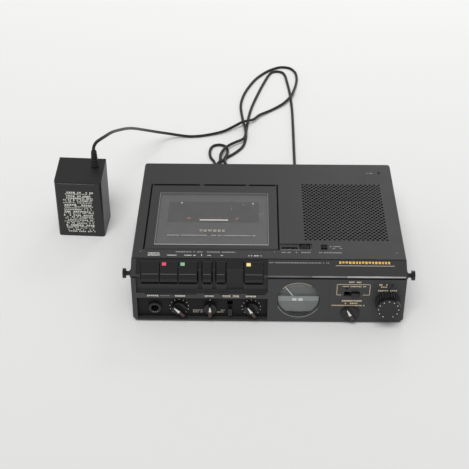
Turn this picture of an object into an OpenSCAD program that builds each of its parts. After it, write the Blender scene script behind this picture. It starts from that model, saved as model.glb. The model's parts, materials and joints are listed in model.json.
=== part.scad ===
// Portable cassette recorder with its mains adapter and lead.
// X runs to the right, Y to the back and Z up, in millimetres. The origin is on the table,
// under the middle of the recorder.

/* [Case] */
// Width of the recorder
case_w = 230; // [228:1:234]
// Depth of the recorder
case_d = 162; // [161:1:164]
// Height of the recorder, feet included
case_h = 58; // [57.5:0.5:60]
// Thickness of the moulded walls
wall = 2.4; // [2:0.1:2.6]
// Height of the rubber feet
foot_h = 2; // [1.5:0.5:2]
// Height of the joint between the two case halves
seam_z = 30; // [28:1:31]
// Radius of the case's upright back corners
corner_r = 3; // [2:0.5:5]

/* [Cassette door] */
// Left edge of the door
door_left = -105; // [-105:0.5:-104]
// Right edge of the door
door_right = 8; // [7:0.5:8]
// Back edge of the door
door_back = 44.3; // [44:0.1:44.6]
// Front edge of the door
door_front = -55.3; // [-55.6:0.1:-55]

/* [Keys] */
// Height of the key axle
key_axle_z = 44; // [43.5:0.25:44.5]
// Radius of the key axle
key_axle_r = 1.5; // [1.2:0.1:1.6]

/* [Meter and knobs] */
// Radius of the meter's window
vu_r = 18; // [17:0.5:18]
// Radius of the record level knob
rec_level_r = 10.2; // [9:0.2:10.4]
// Radius of the small knobs' skirts
small_knob_r = 6; // [5:0.25:6.5]

/* [Mechanism] */
// Distance between the two spindles
spindle_gap = 42.5; // [42:0.1:43]
// Radius of the flywheel
flywheel_r = 24; // [20:0.5:24]
// Radius of the motor pulley's groove
pulley_r = 4.5; // [4:0.25:5]

/* [Adapter and lead] */
// Width of the adapter
adapter_w = 43.6; // [40:0.2:46]
// Depth of the adapter
adapter_d = 36; // [34:0.5:38]
// Height of the adapter at its front
adapter_h = 59.5; // [56:0.5:60]
// Diameter of the lead
cord_d = 3; // [2.6:0.1:3.2]

/* [Hidden] */
$fn = 64;

half_w = case_w / 2;
half_d = case_d / 2;
inner_x = half_w - wall;
inner_back = half_d - wall;
floor_z = foot_h + wall;
roof_z = case_h - wall;
cover_front = -half_d + 14;
recess_y = -half_d + 4;
bottom_chamfer = 3;
top_chamfer = 0.8;
gap = 0.3;
fit = 0.05;

// Screw posts: x and y of each
post_r = 3.3;
post_xy = [[-109.2, -45], [109.2, -45], [-109.2, 72], [109.2, 72]];

// Battery box and its door
box_lo = [-104.8, 40.6];
box_hi = [20.8, 78];
box_roof = 39.8;
box_wall = 1.2;

// Bay of the keys and recess of the controls, seen from the front
bay_left = -111;
bay_right = -0.5;
bay_floor = 31;
bay_wall_top = 38;
panel_top = 46.9;
skirt_z = 45;
control_floor = 3;
control_top = 26;
key_slot_left = -107;
key_slot_right = -4.2;

// Keys: left and right edge of each
stop_x = [-106.4, -91.4];
record_x = [-90.6, -75.9];
play_x = [-75.1, -59.8];
rewind_x = [-55, -47.8];
forward_x = [-43.4, -36.2];
pause_x = [-20, -4.7];
key_axle_y = -60;
key_rear = [-70.4, 56.9];
key_ridge = [-79.5, 50.2];
key_front = [-82, 46.6];
key_foot = [-81.6, 41.8];
key_slope = atan2(key_rear[1] - key_ridge[1], key_rear[0] - key_ridge[0]);
marker_w = 3.5;
marker_l = 2.8;

// Controls: x and z of each axis
control_z = 13.5;
jack_x = -96.3;
level_x = -75.6;
tone_x = -49.2;
monitor_x = -32.3;
pitch_x = -14.2;
rec_mode_at = [69.6, 11.3];
rec_level_at = [100.2, 24.7];
vu_at = [25.5, 24.9];
vu_pivot_z = 19.8;
vu_needle_l = 20.3;
vu_needle_rest = -34.5;
shaft_r = 3;
shaft_fit = 0.08;

// Speed switch slot in the front panel
speed_lo = [63.4, 29.3];
speed_hi = [76.6, 34.5];

// Counter, reset button and memory switch in the top
counter_axis = [-51.5, 50.6];
counter_wheel_r = 5.6;
counter_wheel_w = 4.2;
counter_pitch = 4.5;
counter_x = 11.2;
reset_lo = [28.4, -54.2];
reset_hi = [33.2, -47.6];
memory_lo = [44.4, -53.4];
memory_hi = [49.8, -46.6];

// Speaker and grille
grille_lo = [30, -41];
grille_hi = [103.5, 47.5];
speaker_at = [66.75, 3.25];

// Cassette mechanism
door_mid = (door_left + door_right) / 2;
door_gap = 0.6;
door_nose_r = 2.4;
hinge_y = door_front + door_nose_r;
hinge_z = case_h - door_nose_r;
hinge_r = 1;
window_lo = [-97.4, -48];
window_hi = [0.4, 32];
ledge_z = hinge_z - door_nose_r - 0.7;
well_lo = [-101, -52.6];
well_hi = [4, 37.8];
well_wall = 1.4;
deck_z = 36;
deck_t = 1.4;
spindle_y = 2;
supply_x = door_mid - spindle_gap / 2;
takeup_x = door_mid + spindle_gap / 2;
capstan = [-28, -22];
capstan_r = 1.2;
boss_r = 10;
motor_at = [-84, -22];
belt_z = 18.5;
belt_h = 2.4;
belt_t = 1.2;
groove_depth = 1.6;
pinch_r = 6;
pinch_at = [-28, -34.5];
rim_r = norm([takeup_x, spindle_y] - capstan) - boss_r - gap;

// Rear sockets: x of each, and the height of the row
dc_x = 30;
socket_z = 16;
line_x = [48, 62];
mic_x = [80, 96];
barrel_r = 2.75;
phono_r = 4.15;

// Strap studs
stud_y = -73;
stud_z = 46;

// Adapter: where its middle stands, its turn, and its sloping top
adapter_at = [-173.7, 61.7];
adapter_turn = -3;
adapter_rise = 6.6;
adapter_seam = 56.2;
adapter_wall = 2;
relief_at = [-160.4, 66];
relief_tip_z = 81;

// Route of the lead, from the plug to the adapter's strain relief. It lies on the table
// and passes over itself in low humps.
cord_route = [[30, 112, 16], [30, 122, 15.3], [30, 132, 12], [30, 145, 5.6], [30, 156, 2.2],
    [30, 166, 1.6], [30, 178, 1.6], [30.2, 214, 1.6], [30.4, 250, 1.6], [30, 299, 1.6],
    [28.2, 331, 1.6], [25.8, 354, 1.6], [24, 367.4, 1.6], [21.2, 374.4, 1.6],
    [14.9, 377.2, 1.6], [8.6, 374.4, 1.6], [5.2, 367.4, 1.6], [0.4, 352, 1.6],
    [-8, 320, 1.6], [-16, 283, 1.6], [-20.5, 238, 1.6], [-21.3, 219, 1.6],
    [-24, 205.5, 1.6], [-31, 193.7, 1.6], [-42.3, 180.4, 1.6], [-46.6, 174, 1.6],
    [-47.6, 168, 1.6], [-45.2, 161.5, 1.6], [-43.2, 156.2, 1.6], [-45.4, 150.8, 1.6],
    [-51.1, 148.4, 1.6], [-56.8, 150.8, 1.6], [-59, 156.2, 1.6], [-56, 162.5, 1.6],
    [-53, 168, 1.6], [-53.4, 174.5, 1.6], [-56.8, 181.5, 1.6], [-58.6, 191.9, 1.6],
    [-57.9, 200.3, 1.6], [-55.3, 206.3, 1.6], [-49.2, 208.9, 1.6], [-43.1, 206.3, 1.6],
    [-40.5, 200.3, 1.7], [-39.8, 191, 3.4], [-40.6, 183, 4.8], [-42.6, 176, 4.8],
    [-42.4, 169, 4.8], [-39.8, 162, 4.8], [-37.9, 156.2, 4.8], [-40.1, 150.8, 4.8],
    [-45.8, 148.4, 4.8], [-51.5, 150.8, 4.8], [-53.7, 156.4, 4.8], [-50.9, 163.5, 4.8],
    [-47.4, 171, 4.8], [-47, 183, 4.8], [-43.8, 194.5, 4.8], [-37.9, 203.5, 4.8],
    [-29.7, 210.8, 4.8], [-23.6, 216, 4.8], [-21.2, 224, 4.8], [-21.4, 236, 4.8],
    [-22.4, 246, 3.8], [-23.8, 255, 1.9], [-24.8, 265, 1.6], [-26.2, 278, 1.6],
    [-27, 296, 1.6], [-25, 313, 1.6], [-18.5, 337, 1.6], [-5, 366, 1.6], [9, 382, 1.6],
    [20, 388, 1.6], [29, 386.3, 1.6], [35.4, 377.4, 1.6], [37.7, 363, 1.6],
    [36.6, 346, 1.6], [33.8, 329.5, 2.8], [29.6, 311, 4.8], [22, 298.5, 3.2],
    [6, 282.5, 2], [-6, 270, 3.4], [-14, 257, 4.6], [-24, 249.4, 6.7],
    [-34, 242.6, 4.6], [-44, 236, 2.8], [-58, 230.5, 1.8], [-72, 226.6, 1.6],
    [-82, 225.6, 1.8], [-91.7, 224.6, 3.6], [-101.9, 218.8, 8.8], [-113.5, 207, 17.8],
    [-124.9, 186, 32.6], [-135.2, 154, 53.3], [-142.1, 122, 70.3], [-148, 94, 83],
    [-151.8, 80, 87.2], [-155.6, 71.8, 88.5], [-157.9, 68.7, 87.9],
    [-159.6, 66.8, 85.7], [-160.4, 66, 83], [-160.4, 66, 81]];
cord_step = 17;
cord_sides = 8;

// ---- Shared shapes ----

module block(lo, hi) {
    translate(lo) cube(hi - lo);
}

// A cylinder that starts at pos and runs along +X, +Y or +Z
module rod_x(pos, r, len) {
    translate(pos) rotate([0, 90, 0]) cylinder(r = r, h = len);
}

module rod_y(pos, r, len) {
    translate(pos) rotate([-90, 0, 0]) cylinder(r = r, h = len);
}

module rod_z(pos, r, len) {
    translate(pos) cylinder(r = r, h = len);
}

// A flat outline with four round corners
module round_rect(lo, hi, r) {
    translate([lo[0] + r, lo[1]]) square([hi[0] - lo[0] - 2 * r, hi[1] - lo[1]]);
    translate([lo[0], lo[1] + r]) square([hi[0] - lo[0], hi[1] - lo[1] - 2 * r]);
    for (x = [lo[0] + r, hi[0] - r], y = [lo[1] + r, hi[1] - r])
        translate([x, y]) circle(r = r);
}

// A plate in the XY plane with round corners
module round_plate(lo, hi, r, z0, z1) {
    translate([0, 0, z0]) linear_extrude(z1 - z0) round_rect(lo, hi, r);
}

// An outline of x and z, pushed from y0 back to y1
module push_back(y0, y1) {
    translate([0, y1, 0]) rotate([90, 0, 0]) linear_extrude(y1 - y0) children();
}

// An outline of y and z, pushed from x0 across to x1
module push_across(x0, x1) {
    translate([x0, 0, 0]) rotate([90, 0, 90]) linear_extrude(x1 - x0) children();
}

// The block between the two case faces, with round back corners from z0 to z1
module case_block(y0, z0, z1) {
    translate([0, 0, z0]) linear_extrude(z1 - z0) difference() {
        round_rect([-half_w, y0 - 20], [half_w, half_d], corner_r);
        translate([-half_w - 1, y0 - 21]) square([case_w + 2, 21]);
    }
}

// ---- Case ----

module post_holes(z0, z1, r) {
    for (p = post_xy)
        rod_z([p[0], p[1], z0], r, z1 - z0);
}

module bottom_outline() {
    c = bottom_chamfer;
    polygon([[-half_w, foot_h + c], [-half_w + c, foot_h], [half_w - c, foot_h],
        [half_w, foot_h + c], [half_w, seam_z], [-half_w, seam_z]]);
}

module battery_box_walls() {
    w = box_wall;
    difference() {
        block([box_lo[0] - w, box_lo[1] - w, floor_z], [box_hi[0] + w, inner_back, box_roof + w]);
        block([box_lo[0], box_lo[1], 0], [box_hi[0], box_hi[1], box_roof]);
    }
}

module bottom_case() color([0.13, 0.13, 0.135]) difference() {
    union() {
        difference() {
            intersection() {
                case_block(recess_y, foot_h, seam_z);
                push_back(recess_y, half_d) bottom_outline();
            }
            block([-inner_x, recess_y - 1, floor_z], [inner_x, inner_back, seam_z + 1]);
        }
        battery_box_walls();
        post_holes(floor_z, seam_z, post_r);
        for (x = [-92, 92], y = [-50, 28])
            rod_z([x, y, floor_z], 2.5, 2.6);
    }
    post_holes(foot_h - 1, seam_z + 1, 1.7);
    post_holes(foot_h - 1, foot_h + 2.4, 2.7);
    // Seat of the control panel's lower edge
    block([-inner_x, recess_y - 1, control_floor + 0.2], [bay_right + 1.5, recess_y + 1.7, 6]);
    // Opening of the battery box, with a groove along each end for the door's tongues
    block([box_lo[0], box_lo[1], 0], [box_hi[0], half_d + 1, floor_z]);
    block([box_lo[0] - 1.1, box_lo[1], 2.6], [box_hi[0] + 1.1, half_d + 1, 4]);
    // Rear sockets
    rod_y([dc_x, inner_back - 1, socket_z], 5.1, wall + 2);
    for (x = line_x)
        rod_y([x, inner_back - 1, socket_z], phono_r + 0.1, wall + 2);
    for (x = mic_x)
        rod_y([x, inner_back - 1, socket_z], 4.1, wall + 2);
}

module feet() color([0.05, 0.05, 0.05]) {
    for (x = [-98, 98], y = [-66, 31])
        translate([x, y, 0]) {
            cylinder(r1 = 5.4, r2 = 6, h = 0.6);
            translate([0, 0, 0.6]) cylinder(r = 6, h = foot_h - 0.6);
        }
}

module case_screws() color([0.6, 0.6, 0.62]) {
    for (p = post_xy)
        difference() {
            union() {
                rod_z([p[0], p[1], foot_h + 0.5], 2.5, 1.9);
                rod_z([p[0], p[1], foot_h + 2.4], 1.4, 34);
            }
            block([p[0] - 2, p[1] - 0.3, 0], [p[0] + 2, p[1] + 0.3, foot_h + 1.3]);
            block([p[0] - 0.3, p[1] - 2, 0], [p[0] + 0.3, p[1] + 2, foot_h + 1.3]);
        }
}

module battery_door() color([0.12, 0.12, 0.125]) difference() {
    union() {
        block([box_lo[0] + gap, box_lo[1] + 0.4, foot_h], [box_hi[0] - gap, half_d, 4.1]);
        block([box_lo[0] - 0.8, box_lo[1] + 0.4, 2.9], [box_hi[0] + 0.8, half_d, 3.7]);
    }
    for (i = [0 : 4])
        block([-50, 58 + 3 * i, foot_h - 1], [-34, 59 + 3 * i, foot_h + 0.6]);
}

// ---- Top ----

module top_outline() {
    c = top_chamfer;
    polygon([[-half_w, seam_z], [half_w, seam_z], [half_w, case_h - c],
        [half_w - c, case_h], [-half_w + c, case_h], [-half_w, case_h - c]]);
}

// The cassette well: a ledge under the door's edge and four walls down to the deck
module cassette_well() {
    e = door_gap + 1.5;
    w = well_wall;
    block([door_left - e, door_front - e, ledge_z - 1.2], [door_right + e, door_back + e, roof_z]);
    block([well_lo[0] - w, well_lo[1] - w, deck_z], [well_hi[0] + w, well_hi[1] + w, ledge_z]);
}

module key_brackets() {
    for (x = [-108.8, -58.4, -3.4])
        block([x, key_axle_y - 3.6, key_axle_z - 3.6], [x + 1.6, key_axle_y + 3.4, roof_z]);
}

module top_cover() color([0.15, 0.15, 0.155]) difference() {
    union() {
        difference() {
            intersection() {
                case_block(cover_front, seam_z, case_h);
                push_back(cover_front, half_d) top_outline();
            }
            block([-inner_x, cover_front - 1, seam_z - 1], [inner_x, inner_back, roof_z]);
        }
        cassette_well();
        key_brackets();
        post_holes(seam_z, roof_z, post_r);
    }
    // Door opening and the well under it
    block([door_left - door_gap, door_front - door_gap, ledge_z],
        [door_right + door_gap, door_back + door_gap, case_h + 1]);
    block([well_lo[0], well_lo[1], deck_z - 1], [well_hi[0], well_hi[1], case_h]);
    rod_x([door_left - 2, hinge_y, hinge_z], hinge_r + fit, 4);
    rod_x([door_right - 2, hinge_y, hinge_z], hinge_r + fit, 4);
    rod_x([-110, key_axle_y, key_axle_z], key_axle_r + fit, 110);
    post_holes(seam_z - 1, 42, 1.45);
    // Grille opening, with a lip for the grille to rest on
    block([grille_lo[0], grille_lo[1], case_h - 1.6], [grille_hi[0], grille_hi[1], case_h + 1]);
    block([grille_lo[0] + 1.2, grille_lo[1] + 1.2, roof_z - 1],
        [grille_hi[0] - 1.2, grille_hi[1] - 1.2, case_h]);
    // Counter recess, its window, the reset button's hole and the memory switch's slot
    block([9.6, -54.8, case_h - 0.9], [37, -45.5, case_h + 1]);
    block([counter_x - 0.2, -54.2, roof_z - 1], [counter_x + 13.4, -49, case_h]);
    block([reset_lo[0] - gap, reset_lo[1] - gap, roof_z - 1],
        [reset_hi[0] + gap, reset_hi[1] + gap, case_h]);
    block([memory_lo[0], memory_lo[1], roof_z - 1], [memory_hi[0], memory_hi[1], case_h + 1]);
    // Hole of the built-in microphone
    rod_z([103.5, 67, roof_z - 1], 1.3, wall + 2);
}

module speaker_grille() color([0.12, 0.12, 0.12]) difference() {
    block([grille_lo[0], grille_lo[1], case_h - 1.6], [grille_hi[0], grille_hi[1], case_h]);
    for (i = [0 : 17], j = [0 : 4])
        block([grille_lo[0] + 3 + 14 * j, grille_lo[1] + 2.6 + 4.8 * i, case_h - 2],
            [grille_lo[0] + 14 + 14 * j, grille_lo[1] + 4.4 + 4.8 * i, case_h + 1]);
}

module speaker() color([0.2, 0.2, 0.2])
    translate([speaker_at[0], speaker_at[1], 0]) rotate_extrude()
        polygon([[0, 30], [15, 30], [15, 40], [20, 41.5], [33, 51], [35, 51], [35, 55.4],
            [32, 55.4], [32, 53], [14, 44], [8, 44], [4, 46], [0, 47]]);

// ---- Front ----

// Bevel with its round lip, as an outline of y and z
module bevel_outline() {
    polygon([[cover_front, case_h], [-80.2, 50.3], [-80.2, 48.3], [-78.4, 48.3],
        [-78.4, skirt_z], [recess_y, skirt_z], [recess_y, 49], [cover_front, case_h - 2.6]]);
    translate([-80.2, 49.3]) circle(r = 1);
}

// Filler between the keys, set back behind the key tops
module filler_outline() {
    polygon([[cover_front, case_h], [recess_y, 53.5], [recess_y, bay_wall_top],
        [recess_y + 2, bay_wall_top], [recess_y + 2, 52], [cover_front, case_h - 2.6]]);
}

module front_bevel() color([0.15, 0.15, 0.155]) difference() {
    union() {
        difference() {
            push_across(-half_w, half_w) bevel_outline();
            block([key_slot_left, -90, 40], [key_slot_right, cover_front - 2.6, case_h + 1]);
        }
        // Fillers between the keys
        push_across(play_x[1] + gap, rewind_x[0] - gap) filler_outline();
        push_across(rewind_x[1] + gap, forward_x[0] - gap) filler_outline();
        push_across(forward_x[1] + gap, pause_x[0] - gap) filler_outline();
        // Cheeks that close the sides under the bevel
        for (x = [-half_w, inner_x])
            push_across(x, x + wall)
                polygon([[cover_front, case_h - 1], [-78.4, 50.4], [-78.4, panel_top],
                    [recess_y, panel_top], [recess_y, seam_z], [cover_front, seam_z]]);
    }
    for (x = [-half_w - 1, inner_x - 1])
        rod_x([x, stud_y, stud_z], 2 + fit, wall + 2);
}

module front_outline() {
    c = bottom_chamfer;
    polygon([[-half_w, foot_h + c], [-half_w + c, foot_h], [half_w - c, foot_h],
        [half_w, foot_h + c], [half_w, panel_top], [-half_w, panel_top]]);
}

// Its lower right corner is round
module bay_outline() {
    r = 3;
    polygon(concat([[bay_left, bay_floor + 30], [bay_left, bay_floor]],
        [for (a = [0 : 15 : 90])
            [bay_right - r + r * sin(a), bay_floor + r - r * cos(a)]],
        [[bay_right, bay_floor + 30]]));
}

module control_outline() {
    translate([bay_left, control_floor])
        square([bay_right - bay_left, control_top - control_floor]);
}

module front_panel() color([0.15, 0.15, 0.155]) difference() {
    union() {
        push_back(-half_d, -78.5) front_outline();
        // Returns round the bay and the control recess, and the bay's back wall
        block([-half_w, -78.5, foot_h + bottom_chamfer], [bay_left, recess_y, skirt_z - 0.1]);
        block([bay_right, -78.5, foot_h], [bay_right + 1.5, recess_y, skirt_z - 0.1]);
        block([bay_left, -78.5, foot_h], [bay_right, recess_y, control_floor]);
        block([bay_left, -78.5, control_top], [bay_right, recess_y, bay_floor]);
        block([bay_left - 1.2, recess_y, bay_floor - 2.6],
            [bay_right + 1.5, recess_y + 2, bay_wall_top]);
    }
    push_back(-half_d - 1, recess_y) bay_outline();
    push_back(-half_d - 1, recess_y) control_outline();
    rod_y([vu_at[0], -half_d - 1, vu_at[1]], vu_r + 0.1, 4);
    rod_y([rec_mode_at[0], -half_d - 1, rec_mode_at[1]], shaft_r + shaft_fit, 4);
    rod_y([rec_level_at[0], -half_d - 1, rec_level_at[1]], 5 + shaft_fit, 4);
    block([speed_lo[0], -half_d - 1, speed_lo[1]], [speed_hi[0], -78, speed_hi[1]]);
    rod_y([65.3, -half_d - 1, 37.9], 1.2, 2.4);
    // Shallow joints between the panel's sections
    for (x = [51.1, 88.1])
        block([x - 0.2, -half_d - 1, foot_h - 1], [x + 0.2, -half_d + 0.4, panel_top + 1]);
}

module control_panel() color([0.06, 0.06, 0.06]) difference() {
    block([-inner_x + 0.1, recess_y, control_floor + 0.2],
        [bay_right + 1.5, recess_y + 1.6, bay_floor - 2.6]);
    rod_y([jack_x, recess_y - 1, control_z], 4.6, 4);
    for (x = [level_x, tone_x, pitch_x])
        rod_y([x, recess_y - 1, control_z], shaft_r + shaft_fit, 4);
    block([monitor_x - 2.3, recess_y - 1, 4.9], [monitor_x + 2.3, recess_y + 2, 20.5]);
}

module strap_studs() color([0.08, 0.08, 0.08]) {
    for (s = [0, 1])
        mirror([s, 0, 0]) {
            rod_x([inner_x - 0.6, stud_y, stud_z], 2, 9);
            rod_x([inner_x - 2.6, stud_y, stud_z], 3.6, 2.6);
            rod_x([half_w, stud_y, stud_z], 3.4, 1.2);
            rod_x([half_w + 4.6, stud_y, stud_z], 4.2, 2.6);
        }
}

// ---- Keys ----

module key_outline() {
    polygon([key_rear, key_ridge, key_front, key_foot, [-74, 41.8], [-72, 44],
        [-69.4, 46]]);
}

module marker_block(x, depth) {
    translate([x, key_rear[0], key_rear[1]]) rotate([key_slope, 0, 0])
        translate([1.5, -marker_l - 1.1, -depth]) cube([marker_w, marker_l, depth + 0.25]);
}

module key(xs) {
    difference() {
        union() {
            push_across(xs[0], xs[1]) key_outline();
            push_across(xs[0] + 1.2, xs[1] - 1.2)
                polygon([[-74, 41.8], [-70, 49], [-62, 47.4], [-60, 47.6], [-60, 40.4], [-62, 40.6]]);
            rod_x([xs[0] + 1.2, key_axle_y, key_axle_z], 3.6, xs[1] - xs[0] - 2.4);
        }
        rod_x([xs[0] - 1, key_axle_y, key_axle_z], key_axle_r + fit, xs[1] - xs[0] + 2);
    }
}

module marked_key(xs) {
    difference() {
        key(xs);
        marker_block(xs[0], 0.5);
    }
}

module stop_key() color([0.16, 0.16, 0.165]) key(stop_x);
module record_key() color([0.16, 0.16, 0.165]) marked_key(record_x);
module play_key() color([0.16, 0.16, 0.165]) marked_key(play_x);
module rewind_key() color([0.16, 0.16, 0.165]) key(rewind_x);
module forward_key() color([0.16, 0.16, 0.165]) key(forward_x);
module pause_key() color([0.16, 0.16, 0.165]) marked_key(pause_x);
module record_marker() color([0.85, 0.35, 0.45]) marker_block(record_x[0], 0.5);
module play_marker() color([0.65, 0.8, 0.65]) marker_block(play_x[0], 0.5);
module pause_marker() color([0.9, 0.85, 0.5]) marker_block(pause_x[0], 0.5);
module key_axle() color([0.6, 0.6, 0.62]) rod_x([-108.8, key_axle_y, key_axle_z], key_axle_r, 107);

// ---- Cassette door ----

module door_outline() {
    translate([hinge_y, hinge_z]) circle(r = door_nose_r);
    polygon([[hinge_y, case_h], [hinge_y, hinge_z - door_nose_r], [hinge_y + 4, case_h - 4],
        [door_back, case_h - 4], [door_back, case_h]]);
}

// One side of the cassette holder: a plate and the lip that the cassette rests on
module holder_rail(x_plate, x_lip) {
    block([x_plate, -26, 37.4], [x_plate + 1.2, 34.4, case_h - 4]);
    block([min(x_plate, x_lip), -26, 37.4], [max(x_plate + 1.2, x_lip), 34.4, 38.4]);
}

module cassette_door() color([0.15, 0.15, 0.155]) difference() {
    union() {
        push_across(door_left, door_right) door_outline();
        holder_rail(-100.4, -96);
        holder_rail(2.2, -1);
    }
    block([window_lo[0], window_lo[1], case_h - 2.2], [window_hi[0], window_hi[1], case_h + 1]);
    block([window_lo[0] + 1.2, window_lo[1] + 1.2, case_h - 5],
        [window_hi[0] - 1.2, window_hi[1] - 1.2, case_h + 1]);
    rod_x([door_left - 1, hinge_y, hinge_z], hinge_r, door_right - door_left + 2);
}

module door_window() color([0.35, 0.35, 0.36, 0.5])
    block([window_lo[0], window_lo[1], case_h - 2.2], [window_hi[0], window_hi[1], case_h - 0.3]);

module door_hinge_pin() color([0.6, 0.6, 0.62])
    rod_x([door_left - 1.6, hinge_y, hinge_z], hinge_r, door_right - door_left + 3.2);

// ---- Mechanism ----

module deck_plate() color([0.55, 0.55, 0.57]) difference() {
    union() {
        block([well_lo[0] - well_wall, well_lo[1] - well_wall, deck_z - deck_t],
            [well_hi[0] + well_wall, well_hi[1] + well_wall, deck_z]);
        rod_z([capstan[0], capstan[1], deck_z - 5], 4, 4);
        rod_z([supply_x, spindle_y, deck_z - 6], 4, 5);
        rod_z([takeup_x, spindle_y, deck_z - 4.4], 4, 3.2);
    }
    rod_z([capstan[0], capstan[1], 20], capstan_r + fit, 20);
    rod_z([supply_x, spindle_y, 20], 1.5 + fit, 20);
    rod_z([takeup_x, spindle_y, 20], 1.5 + fit, 20);
}

// Disc, three-winged hub and pointed tip that carry a cassette reel
module reel_hub(x) {
    translate([x, spindle_y, 0]) {
        rod_z([0, 0, deck_z + 0.4], 10, 1.4);
        rod_z([0, 0, deck_z + 1.8], 3, 8);
        for (a = [0, 120, 240])
            rotate([0, 0, a + 90]) block([0, -0.5, deck_z + 1.8], [4.4, 0.5, deck_z + 8]);
        translate([0, 0, deck_z + 9.8]) cylinder(r1 = 3, r2 = 1, h = 2);
    }
}

module supply_spindle() color([0.75, 0.72, 0.68]) {
    reel_hub(supply_x);
    rod_z([supply_x, spindle_y, deck_z - 8], 1.5, 8.4);
}

module takeup_spindle() color([0.75, 0.72, 0.68]) {
    reel_hub(takeup_x);
    rod_z([takeup_x, spindle_y, 30.6], 1.5, 5.8);
    rod_z([takeup_x, spindle_y, 25.4], rim_r, 5.2);
}

module flywheel() color([0.7, 0.6, 0.4]) difference() {
    union() {
        rod_z([capstan[0], capstan[1], 16], flywheel_r, 8);
        rod_z([capstan[0], capstan[1], 24], boss_r, 6.4);
        rod_z([capstan[0], capstan[1], 12], capstan_r, 38);
    }
    difference() {
        rod_z([capstan[0], capstan[1], belt_z - 0.6], flywheel_r + 1, belt_h + 1.2);
        rod_z([capstan[0], capstan[1], belt_z - 1], flywheel_r - groove_depth, belt_h + 2);
    }
}

module motor() color([0.6, 0.6, 0.62]) difference() {
    rod_z([motor_at[0], motor_at[1], 23], 14, deck_z - deck_t - 23);
    rod_z([motor_at[0], motor_at[1], 20], 1 + fit, 13);
}

module motor_pulley() color([0.75, 0.65, 0.4]) {
    rod_z([motor_at[0], motor_at[1], 15], 1, 17.5);
    rod_z([motor_at[0], motor_at[1], belt_z - 1.6], pulley_r + 1.4, 1);
    rod_z([motor_at[0], motor_at[1], belt_z - 0.6], pulley_r, belt_h + 1.2);
    rod_z([motor_at[0], motor_at[1], belt_z + belt_h + 0.6], pulley_r + 1.4, 1);
}

// Outline of a belt round two pulleys whose middles are apart along +X
function belt_points(small, big, apart) =
    let (lean = asin((big - small) / apart))
    concat([for (i = [0 : 24]) let (a = 90 + lean + i * (180 - 2 * lean) / 24)
            [small * cos(a), small * sin(a)]],
        [for (i = [0 : 48]) let (a = -90 - lean + i * (180 + 2 * lean) / 48)
            [apart + big * cos(a), big * sin(a)]]);

module drive_belt() color([0.05, 0.05, 0.05]) {
    apart = capstan[0] - motor_at[0];
    small = pulley_r + gap;
    big = flywheel_r - groove_depth + gap;
    translate([motor_at[0], motor_at[1], belt_z]) linear_extrude(belt_h) difference() {
        polygon(belt_points(small + belt_t, big + belt_t, apart));
        polygon(belt_points(small, big, apart));
    }
}

module head_slide() color([0.7, 0.7, 0.72]) {
    z = deck_z + gap;
    block([-80, -50, z], [-19, -29, z + 1.2]);
    // Record and play head, erase head, and the guides beside them
    block([-55.5, -38, z + 1.2], [-41.5, -33, z + 14]);
    translate([-48.5, -35, 0]) rod_z([0, 0, z + 1.2], 4.6, 12.8);
    block([-68, -37, z + 1.2], [-60, -31, z + 13]);
    rod_z([pinch_at[0], pinch_at[1], z + 1.2], 1.25, 13.4);
}

module pinch_roller() color([0.05, 0.05, 0.05]) difference() {
    rod_z([pinch_at[0], pinch_at[1], deck_z + 3.2], pinch_r, 9);
    rod_z([pinch_at[0], pinch_at[1], deck_z], 1.3, 20);
}

// Board under the deck, and the control pots behind the panel
module main_board() color([0.1, 0.35, 0.18]) {
    block([-102, -57, 7], [102, 36, 8.6]);
    for (x = [level_x, tone_x, pitch_x])
        rod_y([x, -69.4, control_z], 8, 7);
    rod_y([rec_mode_at[0], -70.4, rec_mode_at[1]], 6, 8);
    rod_y([rec_level_at[0], -68.4, rec_level_at[1]], 8, 8);
    block([40, -20, 8.6], [58, -6, 11]);
    for (i = [0 : 3])
        rod_z([74 + 8 * i, -36, 8.6], 2.5, 8);
    block([84, 6, 8.6], [100, 24, 20]);
}

// ---- Meter ----

module vu_housing() color([0.06, 0.06, 0.06]) difference() {
    rod_y([vu_at[0], -78.5, vu_at[1]], vu_r + 1.5, 18);
    rod_y([vu_at[0], -79, vu_at[1]], vu_r - 0.1, 15.5);
}

module vu_dial() color([0.45, 0.5, 0.5]) difference() {
    rod_y([vu_at[0], -75, vu_at[1]], vu_r - 0.2, 0.8);
    rod_y([vu_at[0], -76, vu_pivot_z], 1.2, 3);
}

// A clear dome over the dial, open at the back
module vu_lens() color([0.9, 0.95, 0.95, 0.3])
    translate([vu_at[0], 0, vu_at[1]]) rotate([90, 0, 0]) rotate_extrude() {
        rise = 2.6;
        r = vu_r - 0.1;
        arc = [0 : 0.125 : 1];
        polygon(concat([for (t = arc) [r * t, 80.6 + rise * (1 - t * t)]],
            [[r, 78.7], [r - 1.2, 78.7]],
            [for (t = arc) [(r - 1.2) * (1 - t), 79.4 + rise * t * (2 - t)]]));
    }

module vu_needle() color([0.95, 0.95, 0.95])
    translate([vu_at[0], 0, vu_pivot_z]) rotate([0, vu_needle_rest, 0]) {
        rod_y([0, -77.6, 0], 0.8, 5.6);
        block([-0.28, -77.6, 0.5], [0.28, -77.1, vu_needle_l]);
    }

// ---- Sockets and controls ----

// A round socket in the back wall, with a blind bore from its outer face
module rear_socket(x, r, bore, flange) {
    difference() {
        union() {
            rod_y([x, half_d - 13, socket_z], r, 13);
            rod_y([x, inner_back - 1.2, socket_z], r + 1.2, 1.2);
            rod_y([x, half_d, socket_z], r, flange);
        }
        rod_y([x, half_d - 11, socket_z], bore, 12 + flange);
    }
}

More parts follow.
